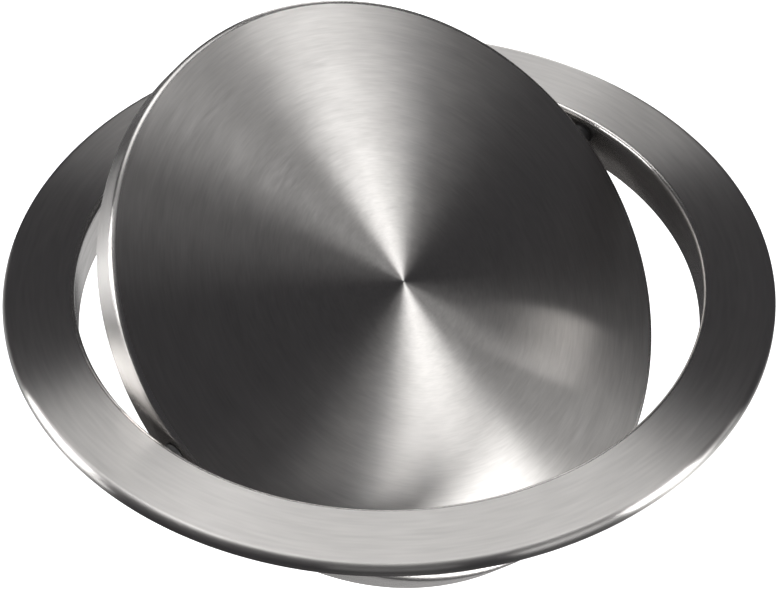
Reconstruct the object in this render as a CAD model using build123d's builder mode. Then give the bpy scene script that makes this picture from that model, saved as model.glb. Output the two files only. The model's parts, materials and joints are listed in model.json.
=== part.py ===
from build123d import *
import os

# A round brushed-steel flap ring: a flanged ring with a short collar drops into a
# hole, and a shallow round pan swings in it on one axle across its middle.
# Frame: +Z is up, and Z = 0 is the surface that the flange sits on. The ring's axis
# is Z. The axle runs along X. At rest the +Y half of the flap is raised.

os.makedirs("parts", exist_ok=True)

# ---- driving dimensions, millimetres and degrees ------------------------------

flange_radius = 140.0
opening_radius = 114.0
sheet = 1.2
lip_height = 4.2
lip_round = 2.8
mouth_round = 1.8
collar_depth = 18.8
seam_drop = 0.4

axle_depth = 8.0
open_angle = 37.5
full_swing = 90.0

flap_radius = 110.6
flap_depth = 15.3
flap_edge_round = 2.0
hem_width = 4.5
face_height = 6.3

axle_radius = 3.0
running_gap = 0.05
slip_gap = 0.1

# the bearings, outwards along the axle from the middle of the ring
spacer_start = 110.8
spacer_thickness = 2.0
bush_start = 113.0
boss_end = 120.4

spacer_radius = 4.6
bush_radius = 4.0
boss_radius = 6.1

# the stop collar's tongue turns between the ends of the right boss's dog
dog_length = 2.0
dog_inner_radius = 4.2
stop_collar_radius = 6.3
tongue_start = -165.0
tongue_size = 60.0
dog_play = 1.0
end_gap = 0.2
stop_collar_length = 4.4
stop_screw_radius = 1.5
stop_screw_length = 3.1
socket_depth = 1.4

# the other end of the axle is held by a ring in a groove, over two disc springs
disc_spring_radius = 5.5
disc_spring_sheet = 0.4
disc_spring_height = 0.7
clip_ring_sheet = 0.7
groove_radius = 2.3
clip_ring_radius = 4.6
clip_ring_opening = 60.0
axle_end = 1.5
end_chamfer = 0.5

# the blocks that hold the axle under the flap's face
block_positions = {"left": -82.0, "centre": 0.0, "right": 82.0}
block_length = 16.0
block_width = 42.0
ear_thickness = 4.5
block_round = 6.5
stud_radius = 2.0
stud_offset = 14.0
stud_length = 10.2
nut_width = 7.0
nut_height = 3.2
nut_washer_radius = 4.5
nut_washer_sheet = 0.8
axle_screw_radius = 2.0
axle_screw_length = 4.0

rib_offset = 55.0
rib_length = 146.0
rib_height = 7.0
rib_sheet = 1.0
rib_foot = 15.0
rib_shoulder = 8.6
rib_crown = 6.6

gasket_inner_radius = 128.5
gasket_outer_radius = 137.0
hold_clip_angles = [45, 135, 225, 315]
hold_clip_width = 14.0
hold_clip_sheet = 0.8

# the hold clip's bends, as levels and as reaches outwards from its foot
clip_foot_top = 0.2
clip_heel_level = -12.6
clip_toe_reach = 2.8
clip_toe_level = -13.8
clip_grip_reach = 11.4
clip_grip_level = -5.2
clip_tip_reach = 9.6
clip_tip_level = -2.2
clip_heel_round = 1.0
clip_bend_round = 1.2

# ---- levels and planes --------------------------------------------------------

flange_top = lip_height
collar_end = flange_top - collar_depth
collar_seam = flange_top - mouth_round - seam_drop
collar_outside = opening_radius + sheet
face_underside = face_height - sheet
skirt_seam = face_height - flap_edge_round - seam_drop
hem_level = face_height - flap_depth

axle_centre = (0, 0, flange_top - axle_depth)
axle_plane = Plane(origin=axle_centre, x_dir=(0, 1, 0), z_dir=(1, 0, 0))
flap_plane = Plane(axle_centre).rotated((open_angle, 0, 0))
flap_axis = Axis(flap_plane.origin, flap_plane.z_dir)
axle_line = Axis(flap_plane.origin, flap_plane.x_dir)
flap_section = Plane(flap_plane.origin, x_dir=flap_plane.x_dir, z_dir=-flap_plane.y_dir)
flap_axle_plane = Plane(flap_plane.origin, x_dir=flap_plane.y_dir, z_dir=flap_plane.x_dir)
sides = {
    "left": Plane(origin=axle_centre, x_dir=(0, 1, 0), z_dir=(-1, 0, 0)),
    "right": axle_plane,
}
flap_sides = {
    "left": Plane(flap_plane.origin, x_dir=flap_plane.y_dir, z_dir=-flap_plane.x_dir),
    "right": flap_axle_plane,
}


def ring_sector(inner_radius, outer_radius, start_angle, arc_size):
    """A sector of a flat ring, as a sketch about the origin."""
    with BuildSketch() as sector:
        with BuildLine():
            outer = CenterArc((0, 0), outer_radius, start_angle, arc_size)
            inner = CenterArc((0, 0), inner_radius, start_angle, arc_size)
            Line(outer @ 0, inner @ 0)
            Line(outer @ 1, inner @ 1)
        make_face()
    return sector.sketch


# ---- the ring -----------------------------------------------------------------

# The flange with its lip and mouth bend is one pressing, and the collar is a plain band
# welded under it.
with BuildPart() as flange_ring:
    with BuildSketch(Plane.XZ):
        with BuildLine():
            shown_side = FilletPolyline(
                (opening_radius, collar_seam),
                (opening_radius, flange_top),
                (flange_radius, flange_top),
                (flange_radius, 0),
                radius=[mouth_round, lip_round],
            )
            hidden_side = FilletPolyline(
                (collar_outside, collar_seam),
                (collar_outside, flange_top - sheet),
                (flange_radius - sheet, flange_top - sheet),
                (flange_radius - sheet, 0),
                radius=[mouth_round - sheet, lip_round - sheet],
            )
            Line(shown_side @ 0, hidden_side @ 0)
            Line(shown_side @ 1, hidden_side @ 1)
        make_face()
    revolve(axis=Axis.Z)
flange_ring.part.label = "flange_ring"
export_step(flange_ring.part, "parts/flange_ring.step")

with BuildPart() as collar_band:
    with BuildSketch(Plane.XY.offset(collar_end)):
        Circle(collar_outside)
        Circle(opening_radius, mode=Mode.SUBTRACT)
    extrude(amount=collar_seam - collar_end)
    with BuildSketch(axle_plane):
        Circle(bush_radius)
    extrude(amount=collar_outside, both=True, mode=Mode.SUBTRACT)
collar_band.part.label = "collar_band"
export_step(collar_band.part, "parts/collar_band.step")

with BuildPart() as flange_gasket:
    with BuildSketch(Plane.XY):
        Circle(gasket_outer_radius)
        Circle(gasket_inner_radius, mode=Mode.SUBTRACT)
    extrude(amount=flange_top - sheet)
flange_gasket.part.label = "flange_gasket"
export_step(flange_gasket.part, "parts/flange_gasket.step")

for side, plane in sides.items():
    with BuildPart() as axle_boss:
        plain_end = boss_end - dog_length if side == "right" else boss_end
        with BuildSketch(plane.offset(opening_radius)):
            Circle(boss_radius)
        extrude(amount=plain_end - opening_radius)
        if side == "right":
            with BuildSketch(plane.offset(plain_end)):
                dog_start = tongue_start + tongue_size + full_swing + dog_play
                dog_size = 360 - tongue_size - full_swing - 2 * dog_play
                add(ring_sector(dog_inner_radius, boss_radius, dog_start, dog_size))
            extrude(amount=dog_length)
        with BuildSketch(plane.offset(opening_radius)):
            Circle(bush_radius)
        extrude(amount=boss_end, mode=Mode.SUBTRACT)
        with BuildSketch(Plane.XY.offset(collar_end)):
            Circle(collar_outside)
        extrude(amount=collar_depth, mode=Mode.SUBTRACT)
    axle_boss.part.label = f"axle_boss_{side}"
    export_step(axle_boss.part, f"parts/axle_boss_{side}.step")

    with BuildPart() as axle_bush:
        with BuildSketch(plane.offset(bush_start)):
            Circle(bush_radius)
            Circle(axle_radius + running_gap, mode=Mode.SUBTRACT)
        extrude(amount=boss_end - dog_length - bush_start)
    axle_bush.part.label = f"axle_bush_{side}"
    export_step(axle_bush.part, f"parts/axle_bush_{side}.step")

# Each hold clip is a leaf spring welded to the collar. Its foot lies on the collar,
# and its leaf stands out to grip the wall of the hole that the ring drops into.
clip_foot = collar_outside + hold_clip_sheet / 2
for number, angle in enumerate(hold_clip_angles, start=1):
    clip_section = Plane.XZ.rotated((0, 0, angle))
    with BuildPart() as hold_clip:
        with BuildSketch(clip_section):
            with BuildLine():
                leaf = FilletPolyline(
                    (clip_foot, clip_foot_top),
                    (clip_foot, clip_heel_level),
                    (clip_foot + clip_toe_reach, clip_toe_level),
                    (clip_foot + clip_grip_reach, clip_grip_level),
                    (clip_foot + clip_tip_reach, clip_tip_level),
                    radius=[clip_heel_round, clip_bend_round, clip_bend_round],
                )
            trace(leaf, line_width=hold_clip_sheet)
        extrude(amount=hold_clip_width / 2, both=True)
    hold_clip.part.label = f"hold_clip_{number}"
    export_step(hold_clip.part, f"parts/hold_clip_{number}.step")

# ---- the flap -----------------------------------------------------------------

# The flap is a pressed face with a rolled edge, and a skirt band with a hem welded to it.
with BuildPart() as flap_face:
    with BuildSketch(flap_section):
        with BuildLine():
            outside = FilletPolyline(
                (0, face_height),
                (flap_radius, face_height),
                (flap_radius, skirt_seam),
                radius=flap_edge_round,
            )
            inside = FilletPolyline(
                (0, face_underside),
                (flap_radius - sheet, face_underside),
                (flap_radius - sheet, skirt_seam),
                radius=flap_edge_round - sheet,
            )
            Line(outside @ 0, inside @ 0)
            Line(outside @ 1, inside @ 1)
        make_face()
    revolve(axis=flap_axis)
flap_face.part.label = "flap_face"
export_step(flap_face.part, "parts/flap_face.step")

with BuildPart() as flap_skirt:
    with BuildSketch(flap_section):
        with BuildLine():
            outside = FilletPolyline(
                (flap_radius, skirt_seam),
                (flap_radius, hem_level),
                (flap_radius - hem_width, hem_level),
                radius=flap_edge_round,
            )
            inside = FilletPolyline(
                (flap_radius - sheet, skirt_seam),
                (flap_radius - sheet, hem_level + sheet),
                (flap_radius - hem_width, hem_level + sheet),
                radius=flap_edge_round - sheet,
            )
            Line(outside @ 0, inside @ 0)
            Line(outside @ 1, inside @ 1)
        make_face()
    revolve(axis=flap_axis)
    with BuildSketch(flap_axle_plane):
        Circle(axle_radius + slip_gap)
    extrude(amount=flap_radius, both=True, mode=Mode.SUBTRACT)
flap_skirt.part.label = "flap_skirt"
export_step(flap_skirt.part, "parts/flap_skirt.step")

for side, way in {"front": -1, "back": 1}.items():
    with BuildPart() as flap_rib:
        with BuildSketch(flap_axle_plane):
            with Locations((way * rib_offset, face_underside)):
                Polygon(
                    (-rib_foot, 0),
                    (-rib_foot, -rib_sheet),
                    (-rib_shoulder, -rib_sheet),
                    (-rib_crown, -rib_height),
                    (rib_crown, -rib_height),
                    (rib_shoulder, -rib_sheet),
                    (rib_foot, -rib_sheet),
                    (rib_foot, 0),
                    align=None,
                )
                Polygon(
                    (-rib_shoulder + rib_sheet, 0),
                    (-rib_crown + rib_sheet, rib_sheet - rib_height),
                    (rib_crown - rib_sheet, rib_sheet - rib_height),
                    (rib_shoulder - rib_sheet, 0),
                    align=None,
                    mode=Mode.SUBTRACT,
                )
        extrude(amount=rib_length / 2, both=True)
    flap_rib.part.label = f"flap_rib_{side}"
    export_step(flap_rib.part, f"parts/flap_rib_{side}.step")

# ---- the axle and what it carries ---------------------------------------------

clip_ring_start = boss_end + end_gap + 2 * disc_spring_height + end_gap
left_end = clip_ring_start + clip_ring_sheet + axle_end
stop_collar_start = boss_end + end_gap
right_end = stop_collar_start + stop_collar_length + axle_end

with BuildPart() as axle_rod:
    with BuildSketch(flap_axle_plane.offset(-left_end)):
        Circle(axle_radius)
    extrude(amount=left_end + right_end)
    chamfer(axle_rod.faces().filter_by(Axis.X).edges(), end_chamfer)
    with BuildSketch(flap_sides["left"].offset(clip_ring_start)):
        Circle(axle_radius)
        Circle(groove_radius, mode=Mode.SUBTRACT)
    extrude(amount=clip_ring_sheet, mode=Mode.SUBTRACT)
axle_rod.part.label = "axle_rod"
export_step(axle_rod.part, "parts/axle_rod.step")

for side, plane in flap_sides.items():
    with BuildPart() as spacer:
        with BuildSketch(plane.offset(spacer_start)):
            Circle(spacer_radius)
            Circle(axle_radius + slip_gap, mode=Mode.SUBTRACT)
        extrude(amount=spacer_thickness)
    spacer.part.label = f"spacer_{side}"
    export_step(spacer.part, f"parts/spacer_{side}.step")

disc_spring_rise = disc_spring_height - disc_spring_sheet
with BuildPart() as disc_springs:
    with BuildSketch(flap_plane):
        for start, inner_rise, outer_rise in (
            (boss_end + end_gap, disc_spring_rise, 0),
            (boss_end + end_gap + disc_spring_height, 0, disc_spring_rise),
        ):
            with BuildLine():
                Polyline(
                    (-start - inner_rise, axle_radius + slip_gap),
                    (-start - outer_rise, disc_spring_radius),
                    (-start - outer_rise - disc_spring_sheet, disc_spring_radius),
                    (-start - inner_rise - disc_spring_sheet, axle_radius + slip_gap),
                    close=True,
                )
            make_face()
    revolve(axis=axle_line)
disc_springs.part.label = "disc_springs"
export_step(disc_springs.part, "parts/disc_springs.step")

with BuildPart() as clip_ring:
    with BuildSketch(flap_sides["left"].offset(clip_ring_start)):
        half_opening = clip_ring_opening / 2
        add(ring_sector(groove_radius, clip_ring_radius, half_opening, 360 - clip_ring_opening))
    extrude(amount=clip_ring_sheet)
clip_ring.part.label = "clip_ring"
export_step(clip_ring.part, "parts/clip_ring.step")

stop_screw_plane = Plane(
    origin=flap_plane.origin + flap_plane.x_dir * (stop_collar_start + stop_collar_length / 2),
    x_dir=flap_plane.x_dir,
    z_dir=-flap_plane.z_dir,
)
with BuildPart() as stop_collar:
    with BuildSketch(flap_axle_plane.offset(stop_collar_start)):
        Circle(stop_collar_radius)
    extrude(amount=stop_collar_length)
    chamfer(stop_collar.faces().sort_by(Axis.X)[-1].edges(), end_chamfer)
    with BuildSketch(flap_axle_plane.offset(stop_collar_start - dog_length)):
        add(ring_sector(dog_inner_radius, boss_radius, tongue_start, tongue_size))
    extrude(amount=dog_length)
    with BuildSketch(flap_axle_plane):
        Circle(axle_radius)
    extrude(amount=right_end, mode=Mode.SUBTRACT)
    with BuildSketch(stop_screw_plane):
        Circle(stop_screw_radius)
    extrude(amount=stop_collar_radius, mode=Mode.SUBTRACT)
stop_collar.part.label = "stop_collar"
export_step(stop_collar.part, "parts/stop_collar.step")

block_screw_plane = Plane(flap_plane.origin, x_dir=flap_plane.x_dir, z_dir=-flap_plane.z_dir)
for name, plane, radius, length in (
    ("stop_collar_screw", stop_screw_plane, stop_screw_radius, stop_screw_length),
    ("axle_block_screw", block_screw_plane, axle_screw_radius, axle_screw_length),
):
    with BuildPart() as set_screw:
        with BuildSketch(plane.offset(axle_radius)):
            Circle(radius)
        extrude(amount=length)
        with BuildSketch(plane.offset(axle_radius + length)):
            RegularPolygon(radius / 2, 6, major_radius=False)
        extrude(amount=-socket_depth, mode=Mode.SUBTRACT)
    set_screw.part.label = name
    export_step(set_screw.part, f"parts/{name}.step")

for name, position in block_positions.items():
    with BuildPart() as axle_block:
        with BuildSketch(flap_axle_plane.offset(position)):
            Circle(block_round)
            with Locations((0, face_underside / 2)):
                Rectangle(2 * block_round, face_underside)
            with Locations((0, face_underside - ear_thickness / 2)):
                Rectangle(block_width, ear_thickness)
            with Locations((0, face_underside + block_round / 2)):
                Rectangle(block_width, block_round, mode=Mode.SUBTRACT)
            Circle(axle_radius, mode=Mode.SUBTRACT)
        extrude(amount=block_length / 2, both=True)
        with BuildSketch(flap_plane.offset(face_underside)):
            with Locations((position, -stud_offset), (position, stud_offset)):
                Circle(stud_radius)
        extrude(amount=-ear_thickness, mode=Mode.SUBTRACT)
        if name == "centre":
            with BuildSketch(block_screw_plane):
                Circle(axle_screw_radius)
            extrude(amount=block_round, mode=Mode.SUBTRACT)
    axle_block.part.label = f"axle_block_{name}"
    export_step(axle_block.part, f"parts/axle_block_{name}.step")

# ---- the fasteners under the flap ---------------------------------------------

stud_points = [(x, way * stud_offset) for x in block_positions.values() for way in (-1, 1)]
ear_level = face_underside - ear_thickness

with BuildPart() as weld_studs:
    with BuildSketch(flap_plane.offset(face_underside)):
        with Locations(*stud_points):
            Circle(stud_radius)
    extrude(amount=-stud_length)
    chamfer(weld_studs.faces().group_by(flap_axis)[0].edges(), end_chamfer)
weld_studs.part.label = "weld_studs"
export_step(weld_studs.part, "parts/weld_studs.step")

with BuildPart() as stud_washers:
    with BuildSketch(flap_plane.offset(ear_level)):
        with Locations(*stud_points):
            Circle(nut_washer_radius)
            Circle(stud_radius, mode=Mode.SUBTRACT)
    extrude(amount=-nut_washer_sheet)
stud_washers.part.label = "stud_washers"
export_step(stud_washers.part, "parts/stud_washers.step")

with BuildPart() as stud_nuts:
    with BuildSketch(flap_plane.offset(ear_level - nut_washer_sheet)):
        with Locations(*stud_points):
            RegularPolygon(nut_width / 2, 6, major_radius=False)
            Circle(stud_radius, mode=Mode.SUBTRACT)
    extrude(amount=-nut_height)
stud_nuts.part.label = "stud_nuts"
export_step(stud_nuts.part, "parts/stud_nuts.step")
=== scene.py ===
import json
import math

import bmesh
import bpy
from mathutils import Matrix, Vector


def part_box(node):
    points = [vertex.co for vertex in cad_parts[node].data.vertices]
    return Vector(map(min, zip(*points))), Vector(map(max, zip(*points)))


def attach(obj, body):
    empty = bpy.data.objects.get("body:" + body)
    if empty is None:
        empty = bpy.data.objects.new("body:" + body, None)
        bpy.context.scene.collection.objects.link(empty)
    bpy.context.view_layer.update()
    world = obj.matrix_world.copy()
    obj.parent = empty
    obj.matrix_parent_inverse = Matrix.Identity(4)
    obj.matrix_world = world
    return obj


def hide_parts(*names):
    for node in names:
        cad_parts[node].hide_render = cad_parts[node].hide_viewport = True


# A round brushed-steel flap ring, seen from its front left and above.
# All lengths are in metres. The ring's axis is +Z, and the flap turns about the axle
# along X. The two brushed shells are turned here as fine meshes from the sizes of their
# CAD nodes. Most of the hardware is copies of its CAD nodes with broken edges, and the
# studs, the nuts and the welds are made here at the places that the nodes give.

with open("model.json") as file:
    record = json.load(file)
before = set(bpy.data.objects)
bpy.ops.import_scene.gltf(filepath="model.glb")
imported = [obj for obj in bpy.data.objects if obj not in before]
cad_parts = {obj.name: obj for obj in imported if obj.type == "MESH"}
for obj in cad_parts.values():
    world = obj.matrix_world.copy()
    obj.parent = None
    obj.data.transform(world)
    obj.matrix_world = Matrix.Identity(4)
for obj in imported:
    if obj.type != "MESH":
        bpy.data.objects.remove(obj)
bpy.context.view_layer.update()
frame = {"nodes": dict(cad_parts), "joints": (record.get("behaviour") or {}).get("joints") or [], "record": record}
nodes = frame["nodes"]
hinge = frame["joints"][0]

MM = 0.001
FULL_TURN = 2 * math.pi

# ---- sizes read from the frame ------------------------------------------------------

axle_level = hinge["pos_m"][2]
open_angle = -math.radians(hinge["range_deg"][0])
flap_frame = Matrix.Translation((0, 0, axle_level)) @ Matrix.Rotation(open_angle, 4, "X")


def turned_size(node, to_local=Matrix()):
    """The least and greatest radius about the local Z axis, and the lowest and highest level."""
    points = [to_local @ v.co for v in nodes[node].data.vertices]
    radii = [math.hypot(p.x, p.y) for p in points]
    levels = [p.z for p in points]
    return min(radii), max(radii), min(levels), max(levels)


to_flap = flap_frame.inverted()
opening_radius, flange_radius, _, flange_top = turned_size("flange_ring")
_, collar_outside, collar_end, collar_seam = turned_size("collar_band")
_, flap_radius, skirt_seam, face_height = turned_size("flap_face", to_flap)
_, _, hem_level, _ = turned_size("flap_skirt", to_flap)
axle_low, axle_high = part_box("axle_rod")
axle_radius = (axle_high.z - axle_low.z) / 2
bush_low, bush_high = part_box("axle_bush_right")
bush_radius = (bush_high.z - bush_low.z) / 2

# ---- details that the frame doesn't give ---------------------------------------------

SHEET = 1.2 * MM
LIP_ROUND = 2.8 * MM
MOUTH_ROUND = 1.8 * MM
FACE_ROUND = 2.0 * MM
HEM_WIDTH = 4.5 * MM
CUT_EDGE_ROUND = 0.3 * MM
AXLE_HOLE_GAP = 0.1 * MM
CUTTER_LENGTH = 12 * MM
SEAM_DEPTH = 0.10 * MM
SEAM_WIDTH = 0.35 * MM
SEAM_POINTS = 3
TURN_STEPS = 480
ARC_STEPS = 10
CUTTER_SIDES = 64
AXIS_RADIUS = 1e-7
MERGE_DISTANCE = 0.001 * MM
SHADING_SPLIT = math.radians(38)


# ---- mesh helpers --------------------------------------------------------------------


def rounded_outline(corners):
    """Points of an outline. Each corner is (radius, level, rounding); 0 stays sharp."""
    points = []
    for i, (x, y, rounding) in enumerate(corners):
        corner = Vector((x, y))
        if rounding == 0:
            points.append(corner)
            continue
        before = Vector(corners[i - 1][:2]) - corner
        after = Vector(corners[(i + 1) % len(corners)][:2]) - corner
        before.normalize()
        after.normalize()
        half = math.acos(max(-1, min(1, before.dot(after)))) / 2
        centre = corner + (before + after).normalized() * rounding / math.sin(half)
        start = corner + before * rounding / math.tan(half) - centre
        finish = corner + after * rounding / math.tan(half) - centre
        sweep = start.angle_signed(finish)
        for step in range(ARC_STEPS + 1):
            turn = -sweep * step / ARC_STEPS
            turned = Matrix.Rotation(turn, 2) @ start
            points.append(centre + turned)
    return points


def seam(radius, level, depth, way):
    """The groove along a ground weld, in an outline that goes up (way 1) or down (-1)."""
    half = way * SEAM_WIDTH / 2
    return (radius, level - half, 0), (radius + depth, level, 0), (radius, level + half, 0)


def on_circle(radius, step, steps):
    angle = FULL_TURN * step / steps
    return radius * math.cos(angle), radius * math.sin(angle)


def turned_mesh(name, outline, materials_of, closed=True):
    """A solid turned about Z from an outline. An open one starts and ends on the axis."""
    mesh = bpy.data.meshes.new(name)
    work = bmesh.new()
    rings = []
    for point in outline:
        if point.x < AXIS_RADIUS:
            rings.append([work.verts.new((0, 0, point.y))])
            continue
        ring = []
        for step in range(TURN_STEPS):
            x, y = on_circle(point.x, step, TURN_STEPS)
            ring.append(work.verts.new((x, y, point.y)))
        rings.append(ring)
    spans = len(rings) if closed else len(rings) - 1
    for span in range(spans):
        inner, outer = rings[span], rings[(span + 1) % len(rings)]
        for step in range(TURN_STEPS):
            after = (step + 1) % TURN_STEPS
            if len(inner) == 1:
                corners = (inner[0], outer[after], outer[step])
            elif len(outer) == 1:
                corners = (inner[step], inner[after], outer[0])
            else:
                corners = (inner[step], inner[after], outer[after], outer[step])
            face = work.faces.new(corners)
            face.material_index = materials_of(span)
            face.smooth = True
    bmesh.ops.recalc_face_normals(work, faces=work.faces)
    work.to_mesh(mesh)
    work.free()
    return mesh


def new_piece(name, mesh, body):
    piece = bpy.data.objects.new(name, mesh)
    bpy.context.scene.collection.objects.link(piece)
    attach(piece, body)
    return piece


def axle_hole_cutters(wall_radius, hole_radius):
    """A rod through the wall at each end of the axle."""
    cutters = []
    for side in (-1, 1):
        mesh = bpy.data.meshes.new("cutter")
        work = bmesh.new()
        along_x = Matrix.Rotation(math.pi / 2, 4, "Y")
        place = Matrix.Translation((side * wall_radius, 0, axle_level)) @ along_x
        bmesh.ops.create_cone(
            work,
            cap_ends=True,
            segments=CUTTER_SIDES,
            radius1=hole_radius,
            radius2=hole_radius,
            depth=CUTTER_LENGTH,
            matrix=place,
        )
        work.to_mesh(mesh)
        work.free()
        cutter = bpy.data.objects.new("cutter", mesh)
        bpy.context.scene.collection.objects.link(cutter)
        cutters.append(cutter)
    return cutters


def cut_holes(piece, cutters):
    """Applies the cutters to the piece's mesh."""
    for cutter in cutters:
        modifier = piece.modifiers.new("hole", "BOOLEAN")
        modifier.operation = "DIFFERENCE"
        modifier.solver = "EXACT"
        modifier.object = cutter
    bpy.context.view_layer.update()
    evaluated = piece.evaluated_get(bpy.context.evaluated_depsgraph_get())
    mesh = bpy.data.meshes.new_from_object(evaluated)
    piece.modifiers.clear()
    piece.data = mesh
    for cutter in cutters:
        bpy.data.objects.remove(cutter)


def shade_smooth(piece):
    """Smooth shading that keeps the wide flat faces flat."""
    piece.data.polygons.foreach_set("use_smooth", [True] * len(piece.data.polygons))
    normals = piece.modifiers.new("flat faces", "WEIGHTED_NORMAL")
    normals.keep_sharp = True


def smooth_by_area(piece):
    """The same, and edges sharper than SHADING_SPLIT stay sharp."""
    piece.data.set_sharp_from_angle(angle=SHADING_SPLIT)
    shade_smooth(piece)


# ---- materials -----------------------------------------------------------------------


def new_material(name):
    material = bpy.data.materials.new(name)
    material.use_nodes = True
    tree = material.node_tree
    return material, tree, tree.nodes["Principled BSDF"]


def add_node(tree, kind, **settings):
    node = tree.nodes.new(kind)
    for key, value in settings.items():
        setattr(node, key, value)
    return node


def feed(tree, node, values):
    """Links or sets the first inputs of a node."""
    for socket, value in zip(node.inputs, values):
        if isinstance(value, bpy.types.NodeSocket):
            tree.links.new(value, socket)
        else:
            socket.default_value = value


def vector_math(tree, operation, *values, output="Vector"):
    node = add_node(tree, "ShaderNodeVectorMath", operation=operation)
    feed(tree, node, values)
    return node.outputs[output]


def maths(tree, operation, *values):
    node = add_node(tree, "ShaderNodeMath", operation=operation)
    feed(tree, node, values)
    return node.outputs[0]


def mixed_by(tree, share, first, second):
    """Share times the first value plus the rest of the second."""
    weighted = maths(tree, "MULTIPLY", first, share)
    rest = maths(tree, "MULTIPLY", second, 1 - share)
    return maths(tree, "ADD", weighted, rest)


def noise(tree, vector, scale, detail=2.0, roughness=0.5):
    node = add_node(tree, "ShaderNodeTexNoise")
    node.inputs["Scale"].default_value = scale
    node.inputs["Detail"].default_value = detail
    node.inputs["Roughness"].default_value = roughness
    tree.links.new(vector, node.inputs["Vector"])
    return node.outputs["Fac"]


BUMP_HEIGHT = 0.05 * MM
METAL_BUMP = 0.1
CLOUD_SCALE = 60.0
MOULDED_SPREAD = 0.06

# most of a noise texture's values are between these
NOISE_LOW = 0.25
NOISE_HIGH = 0.75


def ranged(tree, value, low, high):
    node = add_node(tree, "ShaderNodeMapRange")
    node.inputs["To Min"].default_value = low
    node.inputs["To Max"].default_value = high
    node.inputs["From Min"].default_value = NOISE_LOW
    node.inputs["From Max"].default_value = NOISE_HIGH
    tree.links.new(value, node.inputs["Value"])
    return node.outputs["Result"]


def colour_from(tree, value, dark, light, shader):
    """Colours the shader between dark and light with a noise value."""
    node = add_node(tree, "ShaderNodeMix", data_type="RGBA")
    node.inputs["A"].default_value = (*dark, 1)
    node.inputs["B"].default_value = (*light, 1)
    tree.links.new(ranged(tree, value, 0, 1), node.inputs["Factor"])
    tree.links.new(node.outputs["Result"], shader.inputs["Base Color"])


def roughness_from(tree, value, roughness, spread, shader):
    spread_out = ranged(tree, value, roughness - spread, roughness + spread)
    tree.links.new(spread_out, shader.inputs["Roughness"])


def bump(tree, height, strength, shader):
    node = add_node(tree, "ShaderNodeBump")
    node.inputs["Strength"].default_value = strength
    node.inputs["Distance"].default_value = BUMP_HEIGHT
    tree.links.new(height, node.inputs["Height"])
    tree.links.new(node.outputs["Normal"], shader.inputs["Normal"])


def turned_about_x(tree, vector, angle, centre=(0, 0, 0)):
    node = add_node(tree, "ShaderNodeVectorRotate", rotation_type="X_AXIS")
    node.inputs["Angle"].default_value = angle
    node.inputs["Center"].default_value = centre
    tree.links.new(vector, node.inputs["Vector"])
    return node.outputs[0]


# the disc's brush lines circle a point a little off its middle
SWIRL_CENTRE = (2.0 * MM, -2.0 * MM, 0)

# the two coarser sets of brush lines: lines in a metre, arcs in a turn, and detail
MIDDLE_LINES = (600, 6.0, 2.0)
BROAD_LINES = (110, 1.2, 1.0)
FINE_ARCS = 10.0
LINE_ROUGHNESS = 0.5
BROAD_SHARE = 0.25


def brushed_steel(name, colours, fine, roughness, spread, anisotropy, tilt=0, centre=(0, 0, 0)):
    """Steel brushed in circles about an axis that leans by tilt about X.

    Fine is the lines in a metre and the detail of the finest brush lines. The gloss
    spreads across the lines.
    """
    material, tree, shader = new_material(name)
    place_at_rest = add_node(tree, "ShaderNodeTexCoord").outputs["Object"]
    untilted = turned_about_x(tree, place_at_rest, -tilt, (0, 0, axle_level))
    coords = vector_math(tree, "SUBTRACT", untilted, centre)
    level = add_node(tree, "ShaderNodeSeparateXYZ")
    tree.links.new(coords, level.inputs[0])
    flat = vector_math(tree, "MULTIPLY", coords, (1, 1, 0))
    radius = vector_math(tree, "LENGTH", flat, output="Value")
    around = vector_math(tree, "NORMALIZE", flat)
    across = maths(tree, "SUBTRACT", radius, level.outputs["Z"])
    place = add_node(tree, "ShaderNodeSeparateXYZ")
    tree.links.new(around, place.inputs[0])

    def lines(per_metre, arcs, detail):
        joined = add_node(tree, "ShaderNodeCombineXYZ")
        tree.links.new(maths(tree, "MULTIPLY", across, per_metre), joined.inputs["X"])
        tree.links.new(maths(tree, "MULTIPLY", place.outputs["X"], arcs), joined.inputs["Y"])
        tree.links.new(maths(tree, "MULTIPLY", place.outputs["Y"], arcs), joined.inputs["Z"])
        return noise(tree, joined.outputs[0], 1.0, detail, LINE_ROUGHNESS)

    fine_per_metre, fine_detail = fine
    fine_lines = lines(fine_per_metre, FINE_ARCS, fine_detail)
    mixed = maths(tree, "MULTIPLY", maths(tree, "ADD", fine_lines, lines(*MIDDLE_LINES)), 0.5)
    shade = mixed_by(tree, BROAD_SHARE, lines(*BROAD_LINES), mixed)
    colour_from(tree, shade, *colours, shader)
    roughness_from(tree, mixed, roughness, spread, shader)

    groove_at_rest = vector_math(tree, "CROSS_PRODUCT", (0, 0, 1), around)
    groove = turned_about_x(tree, groove_at_rest, tilt)
    to_world = add_node(
        tree,
        "ShaderNodeVectorTransform",
        vector_type="VECTOR",
        convert_from="OBJECT",
        convert_to="WORLD",
    )
    tree.links.new(groove, to_world.inputs[0])
    normal = add_node(tree, "ShaderNodeNewGeometry").outputs["Normal"]
    rough_way = vector_math(tree, "CROSS_PRODUCT", to_world.outputs[0], normal)
    tree.links.new(rough_way, shader.inputs["Tangent"])
    shader.inputs["Metallic"].default_value = 1
    shader.inputs["Anisotropic"].default_value = anisotropy
    return material


def grey(darker, lighter):
    """A pair of neutral colours."""
    return (darker, darker, darker), (lighter, lighter, lighter)


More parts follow.
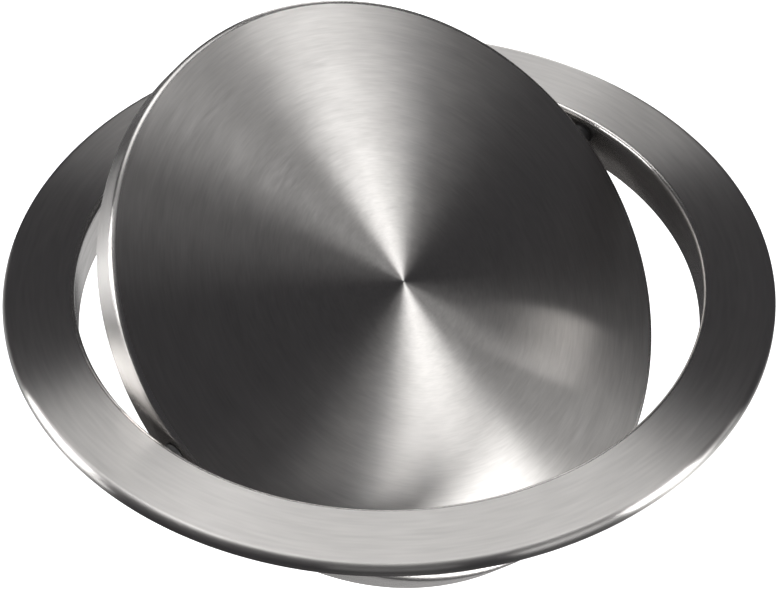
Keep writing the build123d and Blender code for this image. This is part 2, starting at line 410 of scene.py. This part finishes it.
def plain_metal(name, colours, roughness, spread, scale, stretch=(1, 1, 1)):
    """Metal with the fine uneven grain of rolling, turning or casting."""
    material, tree, shader = new_material(name)
    coords = add_node(tree, "ShaderNodeTexCoord").outputs["Object"]
    stretched = vector_math(tree, "MULTIPLY", coords, stretch)
    grain = noise(tree, stretched, scale, detail=4.0, roughness=0.6)
    clouds = noise(tree, coords, CLOUD_SCALE, detail=3.0)
    shade = mixed_by(tree, 0.5, grain, clouds)
    colour_from(tree, shade, *colours, shader)
    roughness_from(tree, shade, roughness, spread, shader)
    bump(tree, grain, METAL_BUMP, shader)
    shader.inputs["Metallic"].default_value = 1
    return material


def moulded(name, colours, roughness, scale, bump_strength):
    """Plastic or rubber with a fine moulded grain."""
    material, tree, shader = new_material(name)
    coords = add_node(tree, "ShaderNodeTexCoord").outputs["Object"]
    grain = noise(tree, coords, scale, detail=4.0, roughness=0.55)
    colour_from(tree, grain, *colours, shader)
    roughness_from(tree, grain, roughness, MOULDED_SPREAD, shader)
    bump(tree, grain, bump_strength, shader)
    return material


RING_STEEL = (0.57, 0.555, 0.54), (0.70, 0.68, 0.66)
WALL_STEEL = (0.54, 0.525, 0.51), (0.71, 0.69, 0.67)
FACE_STEEL = (0.54, 0.525, 0.51), (0.70, 0.68, 0.66)
SMOOTH_LINES = (900, 0)
FACE_LINES = (1500, 1)

ring_brushed = brushed_steel(
    "ring_brushed", RING_STEEL, SMOOTH_LINES, roughness=0.28, spread=0, anisotropy=1.0
)
ring_edge = brushed_steel(
    "ring_edge", WALL_STEEL, SMOOTH_LINES, roughness=0.20, spread=0, anisotropy=0.9
)
flap_brushed = brushed_steel(
    "flap_brushed",
    FACE_STEEL,
    FACE_LINES,
    roughness=0.31,
    spread=0.03,
    anisotropy=1.0,
    tilt=open_angle,
    centre=SWIRL_CENTRE,
)
flap_edge = brushed_steel(
    "flap_edge",
    RING_STEEL,
    SMOOTH_LINES,
    roughness=0.27,
    spread=0,
    anisotropy=0.95,
    tilt=open_angle,
)
mill_finish = plain_metal(
    "mill_finish",
    grey(0.42, 0.56),
    roughness=0.42,
    spread=0.06,
    scale=900.0,
    stretch=(1, 0.12, 1),
)

# ---- the ring ------------------------------------------------------------------------


def make_ring():
    ring_outline = rounded_outline(
        [
            (opening_radius, collar_end, CUT_EDGE_ROUND),
            *seam(opening_radius, collar_seam, SEAM_DEPTH, 1),
            (opening_radius, flange_top, MOUTH_ROUND),
            (flange_radius, flange_top, LIP_ROUND),
            (flange_radius, 0, CUT_EDGE_ROUND),
            (flange_radius - SHEET, 0, CUT_EDGE_ROUND),
            (flange_radius - SHEET, flange_top - SHEET, LIP_ROUND - SHEET),
            (opening_radius + SHEET, flange_top - SHEET, MOUTH_ROUND - SHEET),
            (opening_radius + SHEET, collar_end, CUT_EDGE_ROUND),
        ]
    )
    corner = ARC_STEPS + 1
    wall_spans = 2 * corner + SEAM_POINTS - 1
    shown_spans = 4 * corner + SEAM_POINTS

    def materials_of(span):
        """The inside wall, then the flat flange and its lip, then what is out of sight."""
        if span < wall_spans:
            return 1
        return 0 if span < shown_spans else 2

    mesh = turned_mesh("ring_shell", ring_outline, materials_of)
    for material in (ring_brushed, ring_edge, mill_finish):
        mesh.materials.append(material)
    ring = new_piece("ring_shell", mesh, "ring")
    cut_holes(ring, axle_hole_cutters(opening_radius, bush_radius))
    smooth_by_area(ring)
    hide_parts("flange_ring", "collar_band")


def make_flap():
    inner_hem = flap_radius - HEM_WIDTH
    flap_outline = rounded_outline(
        [
            (0, face_height, 0),
            (flap_radius, face_height, FACE_ROUND),
            *seam(flap_radius, skirt_seam, -SEAM_DEPTH, -1),
            (flap_radius, hem_level, FACE_ROUND),
            (inner_hem, hem_level, CUT_EDGE_ROUND),
            (inner_hem, hem_level + SHEET, CUT_EDGE_ROUND),
            (flap_radius - SHEET, hem_level + SHEET, FACE_ROUND - SHEET),
            (flap_radius - SHEET, face_height - SHEET, FACE_ROUND - SHEET),
            (0, face_height - SHEET, 0),
        ]
    )
    shown_spans = 2 * (ARC_STEPS + 1) + SEAM_POINTS + 1

    def materials_of(span):
        """The flat face, then the edge and the skirt, then what is out of sight."""
        if span == 0:
            return 0
        return 1 if span < shown_spans else 2

    mesh = turned_mesh("flap_pan", flap_outline, materials_of, closed=False)
    for material in (flap_brushed, flap_edge, mill_finish):
        mesh.materials.append(material)
    mesh.transform(flap_frame)
    flap = new_piece("flap_pan", mesh, "flap")
    cut_holes(flap, axle_hole_cutters(flap_radius, axle_radius + AXLE_HOLE_GAP))
    smooth_by_area(flap)
    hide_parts("flap_face", "flap_skirt")


make_ring()
make_flap()

# ---- hardware ------------------------------------------------------------------------

TURNED_COLOURS = (0.50, 0.49, 0.48), (0.64, 0.63, 0.62)
SPRING_COLOURS = (0.34, 0.34, 0.35), (0.48, 0.48, 0.49)
ALUMINIUM_COLOURS = (0.62, 0.62, 0.63), (0.74, 0.74, 0.75)
WELD_COLOURS = (0.36, 0.34, 0.31), (0.56, 0.54, 0.50)

hardware_materials = {
    "mill_steel": plain_metal(
        "rolled_steel",
        grey(0.40, 0.55),
        roughness=0.40,
        spread=0.06,
        scale=700.0,
        stretch=(0.1, 1, 1),
    ),
    "turned_steel": plain_metal(
        "machined_steel",
        TURNED_COLOURS,
        roughness=0.26,
        spread=0.05,
        scale=1200.0,
        stretch=(3, 0.3, 0.3),
    ),
    "spring_steel": plain_metal(
        "blued_spring", SPRING_COLOURS, roughness=0.30, spread=0.05, scale=900.0
    ),
    "block_aluminium": plain_metal(
        "milled_aluminium", ALUMINIUM_COLOURS, roughness=0.42, spread=0.08, scale=1500.0
    ),
    "bearing_plastic": moulded(
        "acetal", grey(0.030, 0.050), roughness=0.45, scale=900.0, bump_strength=0.1
    ),
    "gasket_rubber": moulded(
        "cell_rubber", grey(0.015, 0.030), roughness=0.75, scale=700.0, bump_strength=0.3
    ),
}
weld_metal = plain_metal(
    "weld_metal", WELD_COLOURS, roughness=0.34, spread=0.08, scale=1400.0
)

bodies = frame["record"]["behaviour"]["bodies"]
body_of_node = {node: body for body, members in bodies.items() for node in members}

# how far the edges of each CAD node are broken, which is guessed
EDGE_ROUNDS = {
    "flange_gasket": 0.6 * MM,
    "axle_boss": 0.4 * MM,
    "axle_bush": 0.2 * MM,
    "hold_clip": 0.15 * MM,
    "flap_rib": 0.25 * MM,
    "axle_rod": 0.1 * MM,
    "spacer": 0.25 * MM,
    "disc_springs": 0.06 * MM,
    "clip_ring": 0.12 * MM,
    "stop_collar": 0.25 * MM,
    "axle_block": 0.5 * MM,
    "stud_washers": 0.15 * MM,
}
BEVEL_STEPS = 3
BEVEL_FROM = math.radians(32)
FLAT_WITHIN = math.radians(0.5)


def merged_mesh(node):
    """A copy of a CAD node's mesh with its split corners joined and its flat faces whole."""
    mesh = nodes[node].data.copy()
    mesh.name = f"{node}_body"
    work = bmesh.new()
    work.from_mesh(mesh)
    bmesh.ops.remove_doubles(work, verts=work.verts, dist=MERGE_DISTANCE)
    bmesh.ops.dissolve_limit(
        work,
        angle_limit=FLAT_WITHIN,
        verts=work.verts,
        edges=work.edges,
        use_dissolve_boundaries=False,
    )
    work.to_mesh(mesh)
    work.free()
    if "custom_normal" in mesh.attributes:
        mesh.attributes.remove(mesh.attributes["custom_normal"])
    return mesh


def refine(node, edge_round):
    """Shows a CAD node with broken edges."""
    mesh = merged_mesh(node)
    material_slot = mesh.materials[0].name
    mesh.materials.clear()
    mesh.materials.append(hardware_materials[material_slot])
    piece = new_piece(f"{node}_body", mesh, body_of_node[node])
    bevel = piece.modifiers.new("broken edges", "BEVEL")
    bevel.width = edge_round
    bevel.segments = BEVEL_STEPS
    bevel.limit_method = "ANGLE"
    bevel.angle_limit = BEVEL_FROM
    shade_smooth(piece)
    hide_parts(node)


def islands(node):
    """The lowest and highest corner of each solid of a node, in the flap's own frame."""
    work = bmesh.new()
    work.from_mesh(nodes[node].data)
    bmesh.ops.remove_doubles(work, verts=work.verts, dist=MERGE_DISTANCE)
    left, found = set(work.verts), []
    while left:
        stack, members = [left.pop()], []
        while stack:
            vert = stack.pop()
            members.append(to_flap @ vert.co)
            for edge in vert.link_edges:
                other = edge.other_vert(vert)
                if other in left:
                    left.remove(other)
                    stack.append(other)
        low = Vector([min(m[axis] for m in members) for axis in range(3)])
        high = Vector([max(m[axis] for m in members) for axis in range(3)])
        found.append((low, high))
    work.free()
    return sorted(found, key=lambda box: (round(box[0].x / MM), round(box[0].y / MM)))


def grid_mesh(work, rows, closed_rows=True):
    """Faces between rows of points. Each row is a closed loop."""
    loops = [[work.verts.new(point) for point in row] for row in rows]
    for lower, upper in zip(loops, loops[1:] + (loops[:1] if closed_rows else [])):
        for i in range(len(lower)):
            j = (i + 1) % len(lower)
            work.faces.new((lower[i], lower[j], upper[j], upper[i]))
    return loops


def finish_piece(name, work, matrix, material, body):
    """Turns a bmesh into a smooth piece that rides on a body."""
    bmesh.ops.recalc_face_normals(work, faces=work.faces)
    mesh = bpy.data.meshes.new(name)
    work.to_mesh(mesh)
    work.free()
    mesh.transform(matrix)
    mesh.materials.append(material)
    piece = new_piece(name, mesh, body)
    smooth_by_area(piece)
    return piece


THREAD_PITCH = 0.7 * MM
THREAD_DEPTH = 0.35 * MM
THREAD_TURN_STEPS = 24
THREAD_RISE_STEPS = 6
THREAD_CHAMFER = 0.5 * MM


def make_studs():
    """The studs, with a real screw thread over their length."""
    work = bmesh.new()
    steel = hardware_materials["turned_steel"]
    for low, high in islands("weld_studs"):
        centre = (low + high) / 2
        radius, length = (high.x - low.x) / 2, high.z - low.z
        levels = int(length / THREAD_PITCH * THREAD_RISE_STEPS)
        rows = []
        for level in range(levels + 1):
            z = length * level / levels
            row = []
            for step in range(THREAD_TURN_STEPS):
                turn = step / THREAD_TURN_STEPS
                phase = (z / THREAD_PITCH - turn) % 1
                groove_depth = THREAD_DEPTH * (1 - abs(2 * phase - 1))
                cut = max(groove_depth, THREAD_CHAMFER - z)
                x, y = on_circle(radius - cut, step, THREAD_TURN_STEPS)
                row.append((centre.x + x, centre.y + y, low.z + z))
            rows.append(row)
        loops = grid_mesh(work, rows, closed_rows=False)
        work.faces.new(loops[0])
        work.faces.new(loops[-1])
    studs = finish_piece("threaded_studs", work, flap_frame, steel, "flap")
    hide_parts("weld_studs")


NUT_CORNERS = 6
NUT_CORNER_STEPS = 8
NUT_CHAMFER_START = 0.96
NUT_CHAMFER_SLOPE = math.tan(math.radians(30))
NUT_BORE_CHAMFER = 0.35 * MM
NUT_SIDE_ANGLE = FULL_TURN / NUT_CORNERS


def make_nuts():
    """Hexagon nuts whose corners are chamfered to the round, as turned nuts are."""
    work = bmesh.new()
    steel = hardware_materials["turned_steel"]
    stud_low, stud_high = islands("weld_studs")[0]
    bore = (stud_high.x - stud_low.x) / 2
    for low, high in islands("stud_nuts"):
        centre = (low + high) / 2
        half_width = min(high.x - low.x, high.y - low.y) / 2
        round_start = NUT_CHAMFER_START * half_width
        rows = []
        steps = NUT_CORNERS * NUT_CORNER_STEPS
        across_x = high.x - low.x < high.y - low.y
        for step in range(steps):
            angle = FULL_TURN * step / steps
            from_flat = (angle if across_x else angle + NUT_SIDE_ANGLE / 2) % NUT_SIDE_ANGLE
            reach = half_width / math.cos(min(from_flat, NUT_SIDE_ANGLE - from_flat))
            drop = (reach - round_start) * NUT_CHAMFER_SLOPE
            outline = (
                (bore, low.z + NUT_BORE_CHAMFER),
                (bore + NUT_BORE_CHAMFER, low.z),
                (round_start, low.z),
                (reach, low.z + drop),
                (reach, high.z - drop),
                (round_start, high.z),
                (bore + NUT_BORE_CHAMFER, high.z),
                (bore, high.z - NUT_BORE_CHAMFER),
            )
            row = []
            for radius, z in outline:
                x, y = on_circle(radius, step, steps)
                row.append((centre.x + x, centre.y + y, z))
            rows.append(row)
        grid_mesh(work, rows)
    nuts = finish_piece("chamfered_nuts", work, flap_frame, steel, "flap")
    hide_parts("stud_nuts")


BEAD_RADIUS = 0.5 * MM
BEAD_RIPPLE = 0.10 * MM
BEAD_STEPS = 160
BEAD_RIPPLES = 26
BEAD_SIDES = 10


def make_boss_welds():
    """The weld bead where each boss meets the collar."""
    for side_name, way in (("left", -1), ("right", 1)):
        boss_low, boss_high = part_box(f"axle_boss_{side_name}")
        boss_radius = (boss_high.y - boss_low.y) / 2
        work = bmesh.new()
        rows = []
        for step in range(BEAD_STEPS):
            turn = FULL_TURN * step / BEAD_STEPS
            outward = Vector((0, math.cos(turn), math.sin(turn)))
            along = Vector((way, 0, 0))
            y, rise = on_circle(boss_radius, step, BEAD_STEPS)
            x = way * math.sqrt(collar_outside**2 - y**2)
            foot = Vector((x, y, axle_level + rise))
            reach = BEAD_RADIUS - BEAD_RIPPLE * abs(math.sin(BEAD_RIPPLES * turn / 2))
            row = []
            for side in range(BEAD_SIDES):
                out, on = on_circle(1, side, BEAD_SIDES)
                row.append(foot + reach * (out * outward + on * along))
            rows.append(row)
        grid_mesh(work, rows)
        finish_piece(f"boss_weld_{side_name}", work, Matrix(), weld_metal, "ring")


# radius and height of a spot weld from its dimple outwards, in millimetres
SPOT_OUTLINE = ((0.9, 0.02), (1.3, 0.14), (1.7, 0.20), (2.1, 0.12), (2.4, -0.05))
SPOT_MIDDLE = 0.04
SPOT_STEPS = 32


def add_spot(work, place):
    """One spot weld: a shallow dimple with a raised rim, facing the local +Z of place."""
    rows = []
    for radius, height in SPOT_OUTLINE:
        row = []
        for step in range(SPOT_STEPS):
            point = Vector((*on_circle(radius, step, SPOT_STEPS), height)) * MM
            row.append(place @ point)
        rows.append(row)
    loops = grid_mesh(work, rows, closed_rows=False)
    middle = work.verts.new(place @ Vector((0, 0, SPOT_MIDDLE * MM)))
    for i in range(SPOT_STEPS):
        work.faces.new((middle, loops[0][i], loops[0][(i + 1) % SPOT_STEPS]))
    work.faces.new(loops[-1])


CLIP_COUNT = 4
RIB_SPOTS = 5
RIB_FOOT_CENTRE = 11.8 * MM
RIB_SHEET = 1.0 * MM
CLIP_SHEET = 0.8 * MM
CLIP_SPOT_SPACING = 5.5 * MM
CLIP_SPOT_LEVEL = -5.0 * MM


def make_spot_welds():
    """The spot welds along the ribs' feet and on the hold clips' feet."""
    facing_down = Matrix.Rotation(math.pi, 4, "X")
    for side in ("front", "back"):
        points = [to_flap @ v.co for v in nodes[f"flap_rib_{side}"].data.vertices]
        top = max(p.z for p in points)
        middle = (min(p.y for p in points) + max(p.y for p in points)) / 2
        half_length = max(p.x for p in points)
        work = bmesh.new()
        for number in range(RIB_SPOTS):
            x = half_length * (2 * number - RIB_SPOTS + 1) / RIB_SPOTS
            for way in (-1, 1):
                spot = (x, middle + way * RIB_FOOT_CENTRE, top - RIB_SHEET)
                add_spot(work, Matrix.Translation(spot) @ facing_down)
        finish_piece(f"rib_spot_welds_{side}", work, flap_frame, weld_metal, "flap")
    facing_out = Matrix.Rotation(math.pi / 2, 4, "Y")
    foot_outside = Matrix.Translation((collar_outside + CLIP_SHEET, 0, 0))
    for number in range(1, CLIP_COUNT + 1):
        clip_low, clip_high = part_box(f"hold_clip_{number}")
        middle = (clip_low + clip_high) / 2
        turn = math.atan2(middle.y, middle.x)
        outwards = Matrix.Rotation(turn, 4, "Z") @ foot_outside
        work = bmesh.new()
        for way in (-1, 1):
            place = Matrix.Translation((0, way * CLIP_SPOT_SPACING / 2, CLIP_SPOT_LEVEL))
            add_spot(work, outwards @ place @ facing_out)
        name = f"clip_spot_welds_{number}"
        finish_piece(name, work, Matrix(), weld_metal, "ring")


for node in list(nodes):
    for prefix, edge_round in EDGE_ROUNDS.items():
        if node.startswith(prefix) and "screw" not in node:
            refine(node, edge_round)
make_studs()
make_nuts()
make_boss_welds()
make_spot_welds()
# the screws are still shown by their CAD nodes
for node in nodes.values():
    if not node.hide_render:
        for material_slot in node.material_slots:
            material_slot.material = hardware_materials[material_slot.material.name]

# ---- camera --------------------------------------------------------------------------

CAMERA_AZIMUTH = math.radians(-48.5)
CAMERA_ELEVATION = math.radians(43.4)
CAMERA_ROLL = math.radians(-0.355)
CAMERA_DISTANCE = 0.868
CAMERA_LENS = 110.3
CAMERA_SHIFT = (0.0008, -0.0338)
SENSOR_WIDTH = 36


def away_from_ring(azimuth, elevation):
    """The direction with an azimuth, from 0 at the front to the right, and an elevation."""
    level = math.cos(elevation)
    return Vector((math.sin(azimuth) * level, -math.cos(azimuth) * level, math.sin(elevation)))


def add_camera():
    camera_data = bpy.data.cameras.new("camera")
    camera_data.sensor_width = SENSOR_WIDTH
    camera_data.lens = CAMERA_LENS
    camera_data.shift_x, camera_data.shift_y = CAMERA_SHIFT
    camera = bpy.data.objects.new("camera", camera_data)
    bpy.context.scene.collection.objects.link(camera)
    back = away_from_ring(CAMERA_AZIMUTH, CAMERA_ELEVATION)
    right = Vector((math.cos(CAMERA_AZIMUTH), math.sin(CAMERA_AZIMUTH), 0))
    up = back.cross(right)
    turned_right = math.cos(CAMERA_ROLL) * right + math.sin(CAMERA_ROLL) * up
    turned_up = back.cross(turned_right)
    place = Matrix((turned_right, turned_up, back)).transposed().to_4x4()
    place.translation = Vector((0, 0, flange_top)) + CAMERA_DISTANCE * back
    camera.matrix_world = place
    bpy.context.scene.camera = camera


add_camera()

# ---- floor, world and lights ---------------------------------------------------------

FLOOR_LEVEL = -0.25
FLOOR_SIZE = 8.0
LIGHT_DISTANCE = 2.0
FLOOR_COLOURS = grey(0.90, 0.94)
FLOOR_MOTTLE = 3.0
FLOOR_ROUGHNESS = 0.9
FLOOR_GLOW = 1.0
WORLD_COLOUR = (0.96, 0.94, 1, 1)
WORLD_BRIGHTNESS = 0.055

# Each softbox is name: (azimuth, elevation, width, height, brightness). The angles are in
# degrees as seen from the ring, and azimuth 0 is the front and 90 the right. Those below
# the horizon stand for the light that a pale table throws back up.
SOFTBOXES = {
    "softbox_front_right": (22, 14, 20, 36, 7.2),
    "softbox_front_right_low": (30, -8, 16, 18, 3.0),
    "softbox_front_right_outer": (42, 4, 14, 26, 0.9),
    "softbox_front": (-5, 20, 24, 30, 1.1),
    "softbox_back_left": (-142, 17, 22, 36, 6.4),
    "softbox_back_left_low": (-130, -8, 18, 18, 2.6),
    "softbox_back_right": (127, 12, 20, 28, 2.0),
    "softbox_overhead": (135, 67, 42, 24, 2.0),
    "softbox_overhead_back": (-170, 62, 40, 24, 0.55),
    "softbox_zenith": (0, 89, 24, 24, 0.45),
    "fill_camera": (-48, 15, 30, 20, 0.3),
    "bounce_back": (-172, -18, 30, 22, 0.7),
    "bounce_right": (90, -42, 44, 24, 0.6),
    "bounce_front_right": (50, -42, 24, 22, 0.9),
    "bounce_below": (0, -89, 40, 40, 0.45),
}


def add_floor():
    mesh = bpy.data.meshes.new("floor")
    half = FLOOR_SIZE / 2
    corners = [(-half, -half, 0), (half, -half, 0), (half, half, 0), (-half, half, 0)]
    mesh.from_pydata(corners, [], [(0, 1, 2, 3)])
    floor = bpy.data.objects.new("floor", mesh)
    bpy.context.scene.collection.objects.link(floor)
    floor.location.z = FLOOR_LEVEL
    material, tree, shader = new_material("floor")
    coords = add_node(tree, "ShaderNodeTexCoord").outputs["Object"]
    colour_from(tree, noise(tree, coords, FLOOR_MOTTLE), *FLOOR_COLOURS, shader)
    shader.inputs["Roughness"].default_value = FLOOR_ROUGHNESS
    shader.inputs["Emission Color"].default_value = (1, 1, 1, 1)
    shader.inputs["Emission Strength"].default_value = FLOOR_GLOW
    # from underneath the floor is clear, so that the underside of the ring can be looked at
    clear = add_node(tree, "ShaderNodeBsdfTransparent")
    one_sided = add_node(tree, "ShaderNodeMixShader")
    from_behind = add_node(tree, "ShaderNodeNewGeometry").outputs["Backfacing"]
    tree.links.new(from_behind, one_sided.inputs[0])
    tree.links.new(shader.outputs[0], one_sided.inputs[1])
    tree.links.new(clear.outputs[0], one_sided.inputs[2])
    tree.links.new(one_sided.outputs[0], tree.nodes["Material Output"].inputs["Surface"])
    mesh.materials.append(material)
    floor.visible_glossy = False
    floor.visible_shadow = False


def add_world():
    world = bpy.data.worlds.new("studio")
    world.use_nodes = True
    background = world.node_tree.nodes["Background"]
    background.inputs["Color"].default_value = WORLD_COLOUR
    background.inputs["Strength"].default_value = WORLD_BRIGHTNESS
    bpy.context.scene.world = world


def add_softbox(name, azimuth, elevation, width, height, brightness):
    """A soft rectangular light that faces the ring."""
    light = bpy.data.lights.new(name, "AREA")
    light.shape = "RECTANGLE"
    light.size = 2 * LIGHT_DISTANCE * math.tan(math.radians(width) / 2)
    light.size_y = 2 * LIGHT_DISTANCE * math.tan(math.radians(height) / 2)
    light.energy = brightness * math.pi * light.size * light.size_y
    softbox = bpy.data.objects.new(name, light)
    bpy.context.scene.collection.objects.link(softbox)
    away = away_from_ring(math.radians(azimuth), math.radians(elevation))
    softbox.location = away * LIGHT_DISTANCE
    softbox.rotation_euler = away.to_track_quat("Z", "Y").to_euler()
    softbox.visible_camera = False


add_floor()
add_world()
for name, numbers in SOFTBOXES.items():
    add_softbox(name, *numbers)
bpy.context.scene.view_settings.view_transform = "Standard"
